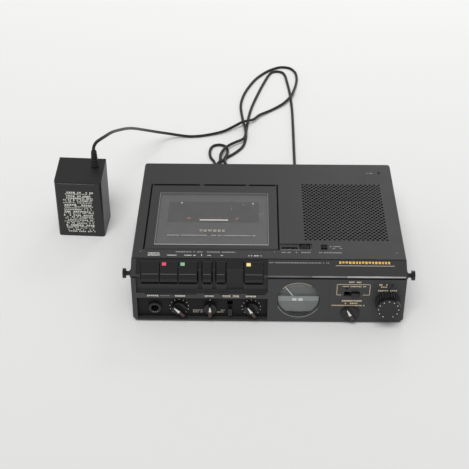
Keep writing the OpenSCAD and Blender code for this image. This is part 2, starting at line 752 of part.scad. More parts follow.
module jack_sockets() color([0.5, 0.5, 0.52]) {
    // Headphone socket in the control recess
    difference() {
        union() {
            rod_y([jack_x, recess_y - 1, control_z], 5.2, 1);
            rod_y([jack_x, recess_y, control_z], 4.5, 17);
        }
        rod_y([jack_x, recess_y - 2, control_z], 3.2, 17);
    }
    rear_socket(dc_x, 5, barrel_r + fit, 0.01);
    rod_y([dc_x, half_d - 11, socket_z], 0.95, 8);
    for (x = line_x)
        rear_socket(x, phono_r, 1.7, 11.6);
    for (x = mic_x)
        rear_socket(x, 4, 3.2 - 1.4, 1);
}

// A knob with a thin skirt and a straight grip, turned by angle from upright
module bar_knob(x, z, panel_y, r, skirt, bar_l, bar_w, bar_h, angle) {
    translate([x, panel_y, z]) rotate([0, angle, 0]) {
        rod_y([0, -skirt, 0], r, skirt - gap);
        block([-bar_w / 2, -bar_h, -bar_l / 2], [bar_w / 2, -skirt, bar_l / 2]);
        rod_y([0, -skirt, 0], shaft_r, skirt + 7);
    }
}

module level_knob() color([0.07, 0.07, 0.07])
    bar_knob(level_x, control_z, recess_y, small_knob_r, 3.4, 13.4, 2.8, 7.4, -43);
module tone_knob() color([0.07, 0.07, 0.07])
    bar_knob(tone_x, control_z, recess_y, small_knob_r - 0.6, 3.4, 12.4, 2.8, 7.4, 0);
module pitch_knob() color([0.07, 0.07, 0.07])
    bar_knob(pitch_x, control_z, recess_y, small_knob_r, 3.4, 13.4, 2.8, 7.4, -31);
module record_mode_knob() color([0.07, 0.07, 0.07])
    bar_knob(rec_mode_at[0], rec_mode_at[1], -half_d, 7.8, 1.8, 14.6, 3.6, 3.4, -28);

module record_level_ring() color([0.07, 0.07, 0.07]) difference() {
    union() {
        rod_y([rec_level_at[0], -88, rec_level_at[1]], rec_level_r + 0.2, 6.7);
        rod_y([rec_level_at[0], -82, rec_level_at[1]], 5, 11);
    }
    rod_y([rec_level_at[0], -89, rec_level_at[1]], 3 + fit, 22);
}

module record_level_knob() color([0.08, 0.08, 0.08]) {
    rod_y([rec_level_at[0], -92.6, rec_level_at[1]], rec_level_r, 4.3);
    rod_y([rec_level_at[0], -89, rec_level_at[1]], 3, 20);
}

module monitor_switch() color([0.07, 0.07, 0.07]) {
    x = monitor_x;
    block([x - 1.7, recess_y - 2.4, 5.6], [x + 1.7, recess_y + 2, 13]);
    block([x - 3.6, recess_y + 2, 4.6], [x + 3.6, recess_y + 3.4, 14.6]);
}

module speed_switch() color([0.07, 0.07, 0.07]) {
    block([69.4, -83.4, 29.7], [76, -78.2, 34.1]);
    block([68, -78.2, 28.4], [79, -76.8, 35.4]);
}

module memory_switch() color([0.07, 0.07, 0.07]) {
    block([memory_lo[0] + 0.4, memory_lo[1] + 0.4, roof_z - gap],
        [memory_hi[0] - 0.4, memory_lo[1] + 3.8, case_h + 0.9]);
    block([memory_lo[0] - 1, memory_lo[1] - 0.6, roof_z - 1.7],
        [memory_hi[0] + 1, memory_hi[1] - 1.4, roof_z - gap]);
}

module counter_reset_button() color([0.07, 0.07, 0.07]) {
    block([reset_lo[0], reset_lo[1], roof_z - gap], [reset_hi[0], reset_hi[1], case_h + 0.5]);
    block([reset_lo[0] - 1, reset_lo[1] - 0.8, roof_z - 2],
        [reset_hi[0] + 1, reset_hi[1] + 0.8, roof_z - gap]);
}

module counter_housing() color([0.08, 0.08, 0.08]) {
    x0 = counter_x - 0.9;
    x1 = counter_x + 3 * counter_pitch;
    for (x = [x0, x1])
        block([x, -57, 43.6], [x + 0.6, -45.6, roof_z]);
    block([x0, -57, 43], [x1 + 0.6, -45.6, 43.6]);
    rod_x([x0, counter_axis[0], counter_axis[1]], 1, x1 + 0.6 - x0);
}

module counter_wheel(i) color([0.85, 0.85, 0.83]) difference() {
    x = counter_x + i * counter_pitch;
    rod_x([x, counter_axis[0], counter_axis[1]], counter_wheel_r, counter_wheel_w);
    rod_x([x - 1, counter_axis[0], counter_axis[1]], 1 + fit, counter_wheel_w + 2);
}

module counter_hundreds() counter_wheel(0);
module counter_tens() counter_wheel(1);
module counter_units() counter_wheel(2);

// ---- Lead, plug and adapter ----

// Hermite curve through the route's points, with tangents weighted by the distances
function leg(i) = norm(cord_route[i + 1] - cord_route[i]);
function slope(i) = (cord_route[i + 1] - cord_route[i]) / leg(i);
function tangent(i) =
    i == 0 ? slope(0)
    : i == len(cord_route) - 1 ? slope(i - 1)
    : (slope(i) * leg(i - 1) + slope(i - 1) * leg(i)) / (leg(i) + leg(i - 1));
function on_leg(i, t) =
    let (s = leg(i), a = cord_route[i], b = cord_route[i + 1])
    a * (2 * pow(t, 3) - 3 * t * t + 1) + b * (3 * t * t - 2 * pow(t, 3))
    + tangent(i) * s * (pow(t, 3) - 2 * t * t + t) + tangent(i + 1) * s * (pow(t, 3) - t * t);
cord_path = concat(
    [for (i = [0 : len(cord_route) - 2])
        let (n = max(1, round(leg(i) / cord_step)))
        for (k = [0 : n - 1]) on_leg(i, k / n)],
    [cord_route[len(cord_route) - 1]]);

function unit(v) = v / norm(v);
function path_dir(i) =
    let (n = len(cord_path))
    unit(cord_path[min(i + 1, n - 1)] - cord_path[max(i - 1, 0)]);
// The ring's sideways direction stays level, except where the lead runs upright
function ring_side(i) =
    let (d = path_dir(i), level = [d[1], -d[0], 0])
    norm(level) < 0.25 ? unit(cross(d, [0.3, -0.95, 0])) : unit(level);
function ring(i) =
    let (d = path_dir(i), s = ring_side(i), u = cross(s, d))
    [for (k = [0 : cord_sides - 1]) let (a = 360 * k / cord_sides)
        cord_path[i] + (s * cos(a) + u * sin(a)) * cord_d / 2];

module power_cord() color([0.04, 0.04, 0.04]) {
    n = len(cord_path);
    m = cord_sides;
    points = [for (i = [0 : n - 1]) each ring(i)];
    sides = [for (i = [0 : n - 2], k = [0 : m - 1])
        [i * m + k, i * m + (k + 1) % m, (i + 1) * m + (k + 1) % m, (i + 1) * m + k]];
    first = [for (k = [m - 1 : -1 : 0]) k];
    last = [for (k = [0 : m - 1]) (n - 1) * m + k];
    polyhedron(points, concat([first], sides, [last]));
}

module dc_plug() color([0.05, 0.05, 0.05]) difference() {
    union() {
        rod_y([dc_x, half_d - 9, socket_z], barrel_r, 10);
        rod_y([dc_x, half_d + 0.6, socket_z], 4.6, 16);
        translate([dc_x, half_d + 16.6, socket_z]) rotate([-90, 0, 0])
            cylinder(r1 = 3.6, r2 = 2, h = 14.4);
    }
    rod_y([dc_x, half_d - 10, socket_z], 1.1, 9);
}

module adapter_side() {
    d = adapter_d / 2;
    polygon([[-d, 0], [d, 0], [d, adapter_h + 4], [d - 3, adapter_h + adapter_rise],
        [-d + 0.8, adapter_h + 0.2], [-d, adapter_h - 0.6]]);
}

module adapter_block(inset) {
    r = 2.4;
    w = adapter_w / 2 - inset;
    d = adapter_d / 2 - inset;
    round_plate([-w, -d], [w, d], r - min(inset, 1.4), inset, adapter_h + 20);
}

module in_adapter() {
    translate([adapter_at[0], adapter_at[1], 0]) rotate([0, 0, adapter_turn]) children();
}

module adapter_shell() {
    difference() {
        intersection() {
            adapter_block(0);
            push_across(-adapter_w, adapter_w) adapter_side();
        }
        intersection() {
            adapter_block(adapter_wall);
            translate([0, 0, -adapter_wall]) push_across(-adapter_w, adapter_w) adapter_side();
        }
    }
}

module adapter_case() color([0.06, 0.06, 0.065]) in_adapter() difference() {
    adapter_shell();
    block([-40, -40, adapter_seam], [40, 40, 100]);
    for (s = [-1, 1])
        block([6.35 * s - 3.2, adapter_d / 2 - 5, 27.4], [6.35 * s + 3.2, adapter_d / 2 + 1, 28.9]);
}

module adapter_cover() color([0.06, 0.06, 0.065]) difference() {
    in_adapter() difference() {
        adapter_shell();
        block([-40, -40, -1], [40, 40, adapter_seam]);
    }
    rod_z([relief_at[0], relief_at[1], adapter_seam], 3.2, 20);
}

module adapter_transformer() color([0.55, 0.5, 0.45]) in_adapter() {
    block([-17, -13, 4], [17, 11, 44]);
    block([-10, -15, 12], [10, -13, 36]);
}

module adapter_blades() color([0.8, 0.75, 0.55]) in_adapter() {
    for (s = [-1, 1])
        block([6.35 * s - 3.15, adapter_d / 2 - 4, 27.45],
            [6.35 * s + 3.15, adapter_d / 2 + 16, 28.85]);
}

module adapter_strain_relief() color([0.05, 0.05, 0.05])
    translate([relief_at[0], relief_at[1], 0]) {
        rod_z([0, 0, adapter_seam + 1], 3.15, 8);
        translate([0, 0, adapter_seam + 9]) cylinder(r1 = 3.15, r2 = 2.5, h = relief_tip_z - adapter_seam - 9);
    }

bottom_case();
top_cover();
front_bevel();
front_panel();
control_panel();
speaker_grille();
speaker();
deck_plate();
main_board();
feet();
case_screws();
strap_studs();
vu_housing();
vu_dial();
vu_lens();
vu_needle();
jack_sockets();
level_knob();
tone_knob();
pitch_knob();
record_mode_knob();
record_level_knob();
record_level_ring();
monitor_switch();
speed_switch();
memory_switch();
counter_housing();
counter_units();
counter_tens();
counter_hundreds();
counter_reset_button();
stop_key();
record_key();
play_key();
rewind_key();
forward_key();
pause_key();
record_marker();
play_marker();
pause_marker();
key_axle();
cassette_door();
door_window();
door_hinge_pin();
supply_spindle();
takeup_spindle();
flywheel();
motor();
motor_pulley();
drive_belt();
head_slide();
pinch_roller();
battery_door();
power_cord();
dc_plug();
adapter_case();
adapter_cover();
adapter_transformer();
adapter_blades();
adapter_strain_relief();
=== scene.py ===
"""Looks of the portable cassette recorder, its lead and its mains adapter."""

import json
import math
import random

import bmesh
import bpy
from mathutils import Matrix, Vector


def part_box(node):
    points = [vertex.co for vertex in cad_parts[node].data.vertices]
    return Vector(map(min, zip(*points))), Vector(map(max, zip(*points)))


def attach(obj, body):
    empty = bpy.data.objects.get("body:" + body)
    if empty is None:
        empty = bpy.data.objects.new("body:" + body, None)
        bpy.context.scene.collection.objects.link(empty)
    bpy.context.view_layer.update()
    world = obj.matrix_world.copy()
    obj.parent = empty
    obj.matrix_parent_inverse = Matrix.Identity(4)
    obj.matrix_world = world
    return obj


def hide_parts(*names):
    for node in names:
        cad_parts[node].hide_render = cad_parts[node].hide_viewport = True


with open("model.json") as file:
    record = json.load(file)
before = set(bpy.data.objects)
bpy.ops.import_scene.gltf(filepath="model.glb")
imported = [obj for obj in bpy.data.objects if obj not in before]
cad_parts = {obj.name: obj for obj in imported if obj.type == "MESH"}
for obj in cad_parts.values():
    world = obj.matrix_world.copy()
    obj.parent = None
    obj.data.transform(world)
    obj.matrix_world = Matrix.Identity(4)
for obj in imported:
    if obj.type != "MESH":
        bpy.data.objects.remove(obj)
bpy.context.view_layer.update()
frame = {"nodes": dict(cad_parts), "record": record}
nodes = frame["nodes"]
MM = 0.001

# Heights and depths of the recorder's faces, in mm
COVER_TOP = 58.0
FRONT_Y = -81.0
RECESS_Y = -77.0
BEVEL_EDGE = (0, -67, COVER_TOP)
PROUD = 0.06


def mm(*values):
    """A point given in millimetres, in metres."""
    return Vector(values) * MM


def box_mm(name):
    """The low and high corners of a CAD node's box, in millimetres."""
    lo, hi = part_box(name)
    return [c / MM for c in lo], [c / MM for c in hi]


def around(k, count):
    """The angle of step k of count round a full turn."""
    return 2 * math.pi * k / count


# ---- Camera ----

def make_camera():
    """The one camera, looking down at the front of the recorder from above."""
    pitch = math.radians(35.71)
    yaw = math.radians(0.906)
    roll = math.radians(-0.078)
    forward = Vector((-math.sin(yaw) * math.cos(pitch), math.cos(yaw) * math.cos(pitch),
                      -math.sin(pitch)))
    level = Vector((math.cos(yaw), math.sin(yaw), 0))
    upright = level.cross(forward)
    right = level * math.cos(roll) + upright * math.sin(roll)
    up = upright * math.cos(roll) - level * math.sin(roll)
    data = bpy.data.cameras.new("camera")
    data.sensor_width = 36
    data.lens = 86.32
    data.clip_start = 0.01
    data.clip_end = 50
    camera = bpy.data.objects.new("camera", data)
    bpy.context.scene.collection.objects.link(camera)
    axes = Matrix((right, up, -forward)).transposed().to_4x4()
    camera.matrix_world = Matrix.Translation(mm(-16.70, -818.60, 622.83)) @ axes
    bpy.context.scene.camera = camera


make_camera()


# ---- Materials ----

def surface(name, color, rough, grain=0.35, tone=0.12, bump=0.2, metal=0.0, alpha=1.0, edge_highlight=0.0,
            clouds=26.0, gloss=0.5):
    """A procedural surface.

    grain is the size of the relief in mm and bump is its strength. tone says how far the
    colour drifts, over patches whose size in mm is clouds. The edge setting paints a highlight:
    it lightens the edges and rounds their shading.
    """
    material = bpy.data.materials.new(name)
    material.use_nodes = True
    tree = material.node_tree
    bsdf = tree.nodes["Principled BSDF"]

    def add(kind, **values):
        node = tree.nodes.new(kind)
        for key, value in values.items():
            node.inputs[key].default_value = value
        return node

    def link(node, output, target, socket):
        tree.links.new(node.outputs[output], target.inputs[socket])

    def shades(scale, lift=0.0):
        return (*[min(1, c * scale + lift) for c in color], 1)

    place = tree.nodes.new("ShaderNodeTexCoord")
    slow = add("ShaderNodeTexNoise", Scale=1000 / clouds, Detail=4.0, Roughness=0.6)
    fine = add("ShaderNodeTexNoise", Scale=1000 / grain, Detail=2.0)
    link(place, "Object", slow, "Vector")
    link(place, "Object", fine, "Vector")

    mix = tree.nodes.new("ShaderNodeMix")
    mix.data_type = "RGBA"
    mix.inputs[6].default_value = shades(1 - tone)
    mix.inputs[7].default_value = shades(1 + tone)
    tree.links.new(slow.outputs["Fac"], mix.inputs[0])
    shade = mix.outputs[2]

    relief = add("ShaderNodeBump", Strength=bump, Distance=grain * MM * 0.15)
    link(fine, "Fac", relief, "Height")
    # Painted highlight: edges found through the bevel normal are lightened.
    if edge_highlight:
        soft = tree.nodes.new("ShaderNodeBevel")
        soft.samples = 6
        soft.inputs["Radius"].default_value = 0.45 * MM
        link(soft, "Normal", relief, "Normal")
        facing = tree.nodes.new("ShaderNodeNewGeometry")
        dot = tree.nodes.new("ShaderNodeVectorMath")
        dot.operation = "DOT_PRODUCT"
        link(soft, "Normal", dot, 0)
        link(facing, "True Normal", dot, 1)
        edge = add("ShaderNodeMapRange",
                   **{"From Min": 0.99, "From Max": 0.8, "To Min": 0.0, "To Max": edge_highlight})
        tree.links.new(dot.outputs["Value"], edge.inputs["Value"])
        light = tree.nodes.new("ShaderNodeMix")
        light.data_type = "RGBA"
        light.inputs[7].default_value = shades(2.4, 0.03)
        tree.links.new(edge.outputs["Result"], light.inputs[0])
        tree.links.new(shade, light.inputs[6])
        shade = light.outputs[2]
    tree.links.new(shade, bsdf.inputs["Base Color"])
    link(relief, "Normal", bsdf, "Normal")

    polish = add("ShaderNodeMapRange",
                 **{"To Min": max(0.02, rough * 0.85), "To Max": min(1.0, rough * 1.15)})
    tree.links.new(slow.outputs["Fac"], polish.inputs["Value"])
    tree.links.new(polish.outputs["Result"], bsdf.inputs["Roughness"])
    bsdf.inputs["Metallic"].default_value = metal
    bsdf.inputs["Specular IOR Level"].default_value = gloss
    bsdf.inputs["Alpha"].default_value = alpha
    return material


# The edge settings in these surfaces paint highlights along the edges.
CASE = surface("case_plastic", (0.0265, 0.027, 0.0275), 0.46, edge_highlight=0.8)
BEZEL = surface("bezel_plastic", (0.03, 0.0305, 0.031), 0.46, edge_highlight=0.7)
PANEL = surface("front_plastic", (0.032, 0.0325, 0.034), 0.5, edge_highlight=0.7)
KEY = surface("key_plastic", (0.012, 0.012, 0.0125), 0.36, grain=0.2, edge_highlight=1.0, bump=0.1,
              gloss=0.35)
GLOSS = surface("knob_gloss", (0.03, 0.03, 0.031), 0.12, bump=0.03)
# One polished plastic, painted with a highlight of three strengths, for the bead along the bevel.
LIP_FAINT_HIGHLIGHT = surface("lip_faint_highlight", (0.12, 0.12, 0.122), 0.2, bump=0.05)
LIP_MID_HIGHLIGHT = surface("lip_mid_highlight", (0.22, 0.22, 0.22), 0.2, tone=0.3, clouds=9.0, bump=0.05)
LIP_SHINE = surface("lip_shine", (0.4, 0.4, 0.395), 0.2, tone=0.3, clouds=9.0, bump=0.05)
INSET = surface("panel_black", (0.007, 0.007, 0.0075), 0.5, edge_highlight=0.4, gloss=0.25)
KNOB = surface("knob_black", (0.007, 0.007, 0.0075), 0.28, grain=0.2, edge_highlight=0.8, bump=0.1)
WELL = surface("well_black", (0.007, 0.007, 0.007), 0.6, gloss=0.3)
# Black for the grille cloth and the counter housing, also used for painted shade in gaps and under
# the keys.
CLOTH_AND_SHADE = surface("grille_cloth", (0.003, 0.003, 0.003), 0.9, grain=0.6, bump=0.6, gloss=0.1)
SMOKED = surface("smoked_window", (0.15, 0.151, 0.151), 0.2, bump=0.01, alpha=0.5, clouds=12.0)
FROST = surface("window_frost", (0.36, 0.36, 0.355), 0.7, tone=0.08, clouds=9.0)
LENS = surface("clear_lens", (0.3, 0.32, 0.32), 0.06, bump=0.0, alpha=0.07)
DIAL = surface("meter_dial", (0.15, 0.153, 0.153), 0.6, tone=0.1, bump=0.05)
DIAL_BAND = surface("meter_band", (0.24, 0.265, 0.26), 0.55, tone=0.1, bump=0.05)
NEEDLE = surface("needle_white", (0.85, 0.85, 0.82), 0.4, bump=0.0)
RED = surface("marker_red", (0.72, 0.08, 0.17), 0.35, bump=0.05)
GREEN = surface("marker_green", (0.24, 0.47, 0.26), 0.35, bump=0.05)
YELLOW = surface("marker_yellow", (0.9, 0.75, 0.3), 0.35, bump=0.05)
LAMP = surface("lamp_red", (0.008, 0.003, 0.003), 0.2, bump=0.0)
STEEL = surface("plated_steel", (0.5, 0.5, 0.5), 0.3, metal=1.0, bump=0.08)
NICKEL = surface("socket_nickel", (0.45, 0.45, 0.44), 0.2, metal=1.0, bump=0.03)
BRASS = surface("brass", (0.66, 0.5, 0.25), 0.28, metal=1.0, bump=0.05)
IRON = surface("transformer_iron", (0.12, 0.1, 0.09), 0.5, metal=0.6, grain=1.0)
PAPER = surface("speaker_paper", (0.02, 0.02, 0.02), 0.85, grain=0.8, bump=0.5)
BOARD = surface("board_green", (0.02, 0.12, 0.05), 0.4, grain=1.4, bump=0.2)
RUBBER = surface("rubber_black", (0.016, 0.016, 0.016), 0.7, grain=0.5, bump=0.3)
SPINDLE = surface("spindle_plastic", (0.36, 0.2, 0.16), 0.45, bump=0.1)
SHEATH = surface("cord_sheath", (0.011, 0.011, 0.011), 0.38, grain=0.25, bump=0.12)
ADAPTER = surface("adapter_plastic", (0.013, 0.0135, 0.014), 0.42, edge_highlight=0.5, grain=0.5, bump=0.3)
INK_WHITE = surface("ink_white", (0.68, 0.68, 0.65), 0.6, bump=0.05)
INK_GREY = surface("ink_grey", (0.32, 0.32, 0.32), 0.6, bump=0.05)
INK_WARM = surface("ink_warm", (0.5, 0.46, 0.4), 0.6, bump=0.05)
INK_CREAM = surface("ink_cream", (0.55, 0.46, 0.32), 0.6, bump=0.05)
INK_DIM = surface("ink_dim", (0.3, 0.27, 0.23), 0.6, bump=0.05)
INK_GOLD = surface("ink_gold", (0.75, 0.42, 0.1), 0.35, bump=0.05)
INK_PINK = surface("ink_pink", (0.2, 0.12, 0.11), 0.6, tone=0.3, clouds=3.0, bump=0.05)
INK_BROWN = surface("ink_brown", (0.06, 0.028, 0.025), 0.5, bump=0.05)
LABEL = surface("label_ink", (0.66, 0.64, 0.54), 0.6, tone=0.75, clouds=4.0, bump=0.05)
# A light grey for a painted highlight along the key ridges.
RIDGE_HIGHLIGHT = surface("key_ridge", (0.11, 0.11, 0.11), 0.3, tone=0.4, clouds=14.0, bump=0.05)

FINISHES = {
    CASE: ["bottom_case", "top_cover", "cassette_door", "battery_door"],
    BEZEL: ["front_bevel"],
    PANEL: ["front_panel"],
    KEY: ["stop_key", "record_key", "play_key", "rewind_key", "forward_key", "pause_key"],
    INSET: ["control_panel", "vu_housing"],
    KNOB: ["level_knob", "tone_knob", "pitch_knob", "record_mode_knob", "record_level_knob",
           "record_level_ring", "monitor_switch", "speed_switch", "strap_studs",
           "counter_units", "counter_tens", "counter_hundreds"],
    SMOKED: ["door_window"],
    CLOTH_AND_SHADE: ["counter_housing"],
    LENS: ["vu_lens"],
    DIAL: ["vu_dial"],
    NEEDLE: ["vu_needle"],
    RED: ["record_marker"],
    GREEN: ["play_marker"],
    YELLOW: ["pause_marker"],
    STEEL: ["head_slide", "key_axle", "door_hinge_pin", "case_screws", "motor"],
    WELL: ["deck_plate", "memory_switch", "counter_reset_button"],
    NICKEL: ["jack_sockets"],
    PAPER: ["speaker"],
    BOARD: ["main_board"],
    RUBBER: ["feet", "drive_belt", "pinch_roller"],
    SPINDLE: ["supply_spindle", "takeup_spindle"],
    BRASS: ["flywheel", "motor_pulley", "adapter_blades"],
    SHEATH: ["dc_plug"],
    ADAPTER: ["adapter_case", "adapter_cover"],
    IRON: ["adapter_transformer"],
}
for material, names in FINISHES.items():
    for name in names:
        for holder in nodes[name].material_slots:
            holder.material = material


# ---- Shapes ----

def mesh_of(bm, name):
    """A mesh from a finished bmesh, which is freed."""
    mesh = bpy.data.meshes.new(name)
    bm.to_mesh(mesh)
    bm.free()
    return mesh


def close_prism(bm, low, high):
    """Sides and ends between two loops of vertices with the same count."""
    sides = []
    for k in range(len(low)):
        n = (k + 1) % len(low)
        sides.append(bm.faces.new((low[k], low[n], high[n], high[k])))
    bm.faces.new(low[::-1])
    bm.faces.new(high)
    return sides


def stand_forward(piece, x, y, z):
    """Turn an upright piece made at the origin to face the front, and put it at a point in mm."""
    turn = Matrix.Rotation(math.radians(90), 4, "X")
    piece.data.transform(Matrix.Translation(mm(x, y, z)) @ turn)


def add_piece(name, mesh, material, body):
    """A piece made here, riding on a body and filed under a material slot."""
    piece = bpy.data.objects.new(name, mesh)
    bpy.context.scene.collection.objects.link(piece)
    mesh.materials.append(material)
    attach(piece, body)
    return piece


def lathe(name, profile, centre, material, body, sides=40, ring=False):
    """A turned piece from (radius, height) points, upright at centre; a ring is open inside."""
    bm = bmesh.new()
    rings = []
    for r, z in profile:
        rings.append([bm.verts.new(centre + mm(r * math.cos(a), r * math.sin(a), z))
                      for a in (around(k, sides) for k in range(sides))])
    for low, high in zip(rings, [*rings[1:], rings[0]] if ring else rings[1:]):
        for k in range(sides):
            bm.faces.new((low[k], low[(k + 1) % sides], high[(k + 1) % sides], high[k]))
    if not ring:
        bm.faces.new(rings[0][::-1])
        bm.faces.new(rings[-1])
    for face in bm.faces:
        face.smooth = len(face.verts) == 4
    return add_piece(name, mesh_of(bm, name), material, body)


class Print:
    """Thin raised marks on one face of the object, gathered into one piece.

    Their places are given as (u, v) in mm, from origin along right and up.
    """

    def __init__(self, origin, right, up, lift=PROUD, bm=None):
        self.origin = Vector(origin)
        self.right = Vector(right).normalized()
        self.up = Vector(up).normalized()
        self.normal = self.right.cross(self.up)
        self.lift = lift
        self.bm = bm or bmesh.new()

    def shape(self, points):
        """A flat shape, from its corners in order."""
        area = sum(a[0] * b[1] - b[0] * a[1] for a, b in zip(points, [*points[1:], points[0]]))
        if area < 0:
            points = points[::-1]
        at = [self.origin + self.right * u + self.up * v for u, v in points]
        top = [self.bm.verts.new((p + self.normal * self.lift) * MM) for p in at]
        low = [self.bm.verts.new((p - self.normal * 0.02) * MM) for p in at]
        self.bm.faces.new(top)
        for k in range(len(at)):
            n = (k + 1) % len(at)
            self.bm.faces.new((low[k], low[n], top[n], top[k]))
        return self

    def bar(self, u0, v0, u1, v1):
        return self.shape([(u0, v0), (u1, v0), (u1, v1), (u0, v1)])

    def disc(self, u, v, r, sides=14):
        turn = 2 * math.pi / sides
        return self.shape([(u + r * math.cos(turn * k), v + r * math.sin(turn * k))
                           for k in range(sides)])

    def frame(self, u0, v0, u1, v1, hole):
        """Four bars from the outer rectangle to the rectangle of the hole."""
        a0, b0, a1, b1 = hole
        return self.bar(u0, v0, u1, b0).bar(u0, b1, u1, v1).bar(u0, b0, a0, b1).bar(a1, b0, u1, b1)

    def clock_dots(self, u, v, distance, r, angles):
        """Dots round a centre, at degrees clockwise from upright."""
        for angle in angles:
            a = math.radians(angle)
            self.disc(u + distance * math.sin(a), v + distance * math.cos(a), r)
        return self

    def line(self, a, b, width):
        a, b = Vector(a), Vector(b)
        side = (b - a).normalized().orthogonal() * width / 2
        return self.shape([tuple(p) for p in (a + side, a - side, b - side, b + side)])

    def arc(self, centre, r, start, end, width, steps=16):
        """A band along a circle, from start to end degrees clockwise from upright."""
        def at(radius, k):
            a = math.radians(start + (end - start) * k / steps)
            return centre[0] + radius * math.sin(a), centre[1] + radius * math.cos(a)
        for k in range(steps):
            self.shape([at(r - width / 2, k), at(r - width / 2, k + 1),
                        at(r + width / 2, k + 1), at(r + width / 2, k)])
        return self

    def words(self, u0, u1, v, height, seed, gap=0.35, blanks=0.14):
        """A row of small blocks that stands in for a line of small print."""
        rng = random.Random(seed)
        u = u0
        while u < u1 - 0.5:
            width = min(rng.uniform(0.6, 1.0) * height, u1 - u)
            if rng.random() > blanks:
                base = rng.choice((0, 0, height * 0.2))
                self.bar(u, v - height / 2 + base, u + width, v + height / 2)
            u += width + gap
        return self

    def build(self, name, material, body="recorder", slot="case_plastic"):
        return add_piece(name, mesh_of(self.bm, name), material, body)


def on_top(z=COVER_TOP, lift=PROUD):
    """Marks on a level face that looks up."""
    return Print((0, 0, z), (1, 0, 0), (0, 1, 0), lift)


def on_front(y=FRONT_Y, lift=PROUD):
    """Marks on an upright face that looks forward."""
    return Print((0, y, 0), (1, 0, 0), (0, 0, 1), lift)


def on_slope():
    """The bevel above the front panel; v runs down from its top edge as negative values."""
    return Print(BEVEL_EDGE, (1, 0, 0), (0, 13.2, 7.7))


# ---- Lead ----

CORD_D = 3.0
CORD_ROUTE = [
    (30, 112, 16), (30, 122, 15.3), (30, 132, 12), (30, 145, 5.6), (30, 156, 2.2),
    (30, 166, 1.6), (30, 178, 1.6), (30.2, 214, 1.6), (30.4, 250, 1.6), (30, 299, 1.6),
    (28.2, 331, 1.6), (25.8, 354, 1.6), (24, 367.4, 1.6), (21.2, 374.4, 1.6),
    (14.9, 377.2, 1.6), (8.6, 374.4, 1.6), (5.2, 367.4, 1.6), (0.4, 352, 1.6), (-8, 320, 1.6),
    (-16, 283, 1.6), (-20.5, 238, 1.6), (-21.3, 219, 1.6), (-24, 205.5, 1.6), (-31, 193.7, 1.6),
    (-42.3, 180.4, 1.6), (-46.6, 174, 1.6), (-47.6, 168, 1.6), (-45.2, 161.5, 1.6),
    (-43.2, 156.2, 1.6), (-45.4, 150.8, 1.6), (-51.1, 148.4, 1.6), (-56.8, 150.8, 1.6),
    (-59, 156.2, 1.6), (-56, 162.5, 1.6), (-53, 168, 1.6), (-53.4, 174.5, 1.6),
    (-56.8, 181.5, 1.6), (-58.6, 191.9, 1.6), (-57.9, 200.3, 1.6), (-55.3, 206.3, 1.6),
    (-49.2, 208.9, 1.6), (-43.1, 206.3, 1.6), (-40.5, 200.3, 1.7), (-39.8, 191, 3.4),
    (-40.6, 183, 4.8), (-42.6, 176, 4.8), (-42.4, 169, 4.8), (-39.8, 162, 4.8),
    (-37.9, 156.2, 4.8), (-40.1, 150.8, 4.8), (-45.8, 148.4, 4.8), (-51.5, 150.8, 4.8),
    (-53.7, 156.4, 4.8), (-50.9, 163.5, 4.8), (-47.4, 171, 4.8), (-47, 183, 4.8),
    (-43.8, 194.5, 4.8), (-37.9, 203.5, 4.8), (-29.7, 210.8, 4.8), (-23.6, 216, 4.8),
    (-21.2, 224, 4.8), (-21.4, 236, 4.8), (-22.4, 246, 3.8), (-23.8, 255, 1.9),
    (-24.8, 265, 1.6), (-26.2, 278, 1.6), (-27, 296, 1.6), (-25, 313, 1.6), (-18.5, 337, 1.6),
    (-5, 366, 1.6), (9, 382, 1.6), (20, 388, 1.6), (29, 386.3, 1.6), (35.4, 377.4, 1.6),
    (37.7, 363, 1.6), (36.6, 346, 1.6), (33.8, 329.5, 2.8), (29.6, 311, 4.8), (22, 298.5, 3.2),
    (6, 282.5, 2), (-6, 270, 3.4), (-14, 257, 4.6), (-24, 249.4, 6.7), (-34, 242.6, 4.6),
    (-44, 236, 2.8), (-58, 230.5, 1.8), (-72, 226.6, 1.6), (-82, 225.6, 1.8),
    (-91.7, 224.6, 3.6), (-101.9, 218.8, 8.8), (-113.5, 207, 17.8), (-124.9, 186, 32.6),
    (-135.2, 154, 53.3), (-142.1, 122, 70.3), (-148, 94, 83), (-151.8, 80, 87.2),
    (-155.6, 71.8, 88.5), (-157.9, 68.7, 87.9), (-159.6, 66.8, 85.7), (-160.4, 66, 83),
    (-160.4, 66, 81)]
CORD_STEP = 4.0


def cord_points():
    """Points along the lead's route, on the curve that the CAD tube follows."""
    p = [Vector(q) for q in CORD_ROUTE]
    legs = [(b - a).length for a, b in zip(p, p[1:])]
    slopes = [(b - a) / d for a, b, d in zip(p, p[1:], legs)]
    tangents = [slopes[0]]
    for i in range(1, len(legs)):
        tangents.append((slopes[i] * legs[i - 1] + slopes[i - 1] * legs[i])
                        / (legs[i] + legs[i - 1]))
    tangents.append(slopes[-1])
    out = []
    for i, leg in enumerate(legs):
        count = max(2, round(leg / CORD_STEP))
        for k in range(count):
            t = k / count
            out.append(
                p[i] * (2 * t**3 - 3 * t**2 + 1) + p[i + 1] * (3 * t**2 - 2 * t**3)
                + tangents[i] * leg * (t**3 - 2 * t**2 + t)
                + tangents[i + 1] * leg * (t**3 - t**2))
    out.append(p[-1])
    return [q * MM for q in out]


